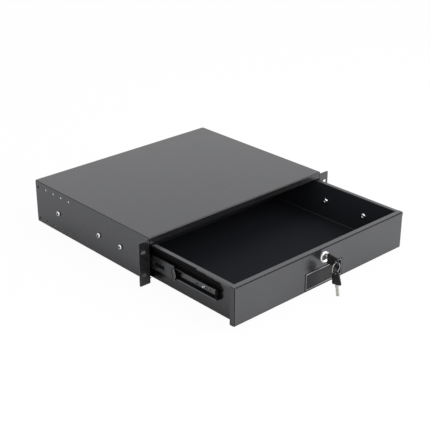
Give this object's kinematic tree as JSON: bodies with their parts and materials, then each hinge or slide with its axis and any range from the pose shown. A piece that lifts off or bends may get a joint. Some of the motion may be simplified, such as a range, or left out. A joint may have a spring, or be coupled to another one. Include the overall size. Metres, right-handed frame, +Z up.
{
  "type": "sliding rack drawer",
  "caption": "Black steel two-unit rack drawer on ball slides, pulled open, with a recessed pull cup, a cam lock and keys.",
  "frame": {"origin": "centre of the rack ears' four slots, in the front plane of the ears", "axes": "+X across the rack to the right seen from the front, +Y from the front to the back, +Z up"},
  "size_m": [0.4826, 0.5981, 0.0969],
  "materials": {
    "black_paint": "semi-gloss black powder coat",
    "slide_steel": "black electro-coat, satin",
    "black_plastic": "fine moulded black plastic",
    "black_rubber": "soft black",
    "black_screw": "black oxide",
    "chrome": "bright plated",
    "nickel_steel": "nickel plated, drawn grain",
    "zinc_steel": "zinc plated",
    "ball_steel": "ground and polished"
  },
  "bodies": {
    "chassis": {"top_cover": "black_paint", "left_side_panel": "black_paint", "right_side_panel": "black_paint", "rear_brace": "black_paint", "rear_corner_screws": "black_screw", "left_outer_rail": "slide_steel", "left_rail_stop": "black_rubber", "left_slide_screws": "chrome", "right_outer_rail": "slide_steel", "right_rail_stop": "black_rubber", "right_slide_screws": "chrome"},
    "drawer": {"tray": "black_paint", "tray_rear": "black_paint", "front_panel": "black_paint", "pull_cup": "black_plastic", "lock_barrel": "chrome", "lock_nut": "zinc_steel", "left_inner_rail": "slide_steel", "left_inner_rail_bumper": "black_rubber", "left_drawer_screws": "chrome", "right_inner_rail": "slide_steel", "right_inner_rail_bumper": "black_rubber", "right_drawer_screws": "chrome"},
    "left_middle": {"left_middle_rail": "slide_steel", "left_middle_rail_bumper": "black_rubber"},
    "left_outer_cage": {"left_outer_ball_cage": "slide_steel", "left_outer_balls": "ball_steel"},
    "left_inner_cage": {"left_inner_ball_cage": "slide_steel", "left_inner_balls": "ball_steel"},
    "right_middle": {"right_middle_rail": "slide_steel", "right_middle_rail_bumper": "black_rubber"},
    "right_outer_cage": {"right_outer_ball_cage": "slide_steel", "right_outer_balls": "ball_steel"},
    "right_inner_cage": {"right_inner_ball_cage": "slide_steel", "right_inner_balls": "ball_steel"},
    "lock": {"lock_plug": "nickel_steel", "lock_cam": "zinc_steel", "cam_screw": "zinc_steel"},
    "key": {"key_blade": "nickel_steel", "key_bow": "black_plastic"},
    "ring": {"key_ring": "chrome"},
    "spare_key": {"spare_key_blade": "nickel_steel", "spare_key_bow": "black_plastic"}
  },
  "joints": [
    {"name": "drawer_slide", "type": "slide", "parent": "chassis", "child": "drawer", "axis": [0, -1, 0], "range_m": [-0.209, 0.041]},
    {"name": "left_middle_slide", "type": "slide", "parent": "chassis", "child": "left_middle", "axis": [0, -1, 0], "range_m": [-0.1045, 0.0205]},
    {"name": "left_outer_cage_slide", "type": "slide", "parent": "chassis", "child": "left_outer_cage", "axis": [0, -1, 0], "range_m": [-0.05225, 0.01025]},
    {"name": "left_inner_cage_slide", "type": "slide", "parent": "chassis", "child": "left_inner_cage", "axis": [0, -1, 0], "range_m": [-0.15675, 0.03075]},
    {"name": "right_middle_slide", "type": "slide", "parent": "chassis", "child": "right_middle", "axis": [0, -1, 0], "range_m": [-0.1045, 0.0205]},
    {"name": "right_outer_cage_slide", "type": "slide", "parent": "chassis", "child": "right_outer_cage", "axis": [0, -1, 0], "range_m": [-0.05225, 0.01025]},
    {"name": "right_inner_cage_slide", "type": "slide", "parent": "chassis", "child": "right_inner_cage", "axis": [0, -1, 0], "range_m": [-0.15675, 0.03075]},
    {"name": "lock_turn", "type": "hinge", "parent": "drawer", "child": "lock", "pos_m": [0, -0.209, 0.013], "axis": [0, -1, 0], "range_deg": [0, 90]},
    {"name": "key_pull", "type": "slide", "parent": "lock", "child": "key", "axis": [0, -1, 0], "range_m": [0, 0.025]},
    {"name": "ring_swing", "type": "hinge", "parent": "key", "child": "ring", "pos_m": [0, -0.236, 0.01135], "axis": [1, 0, 0], "range_deg": [-20, 8]},
    {"name": "spare_key_swing", "type": "hinge", "parent": "ring", "child": "spare_key", "pos_m": [0, -0.236, -0.00825], "axis": [1, 0, 0], "range_deg": [-10, 22]}
  ],
  "couplings": [
    {"joint": "left_middle_slide", "follows": "drawer_slide", "ratio": 0.5},
    {"joint": "left_outer_cage_slide", "follows": "drawer_slide", "ratio": 0.25},
    {"joint": "left_inner_cage_slide", "follows": "drawer_slide", "ratio": 0.75},
    {"joint": "right_middle_slide", "follows": "drawer_slide", "ratio": 0.5},
    {"joint": "right_outer_cage_slide", "follows": "drawer_slide", "ratio": 0.25},
    {"joint": "right_inner_cage_slide", "follows": "drawer_slide", "ratio": 0.75}
  ]
}
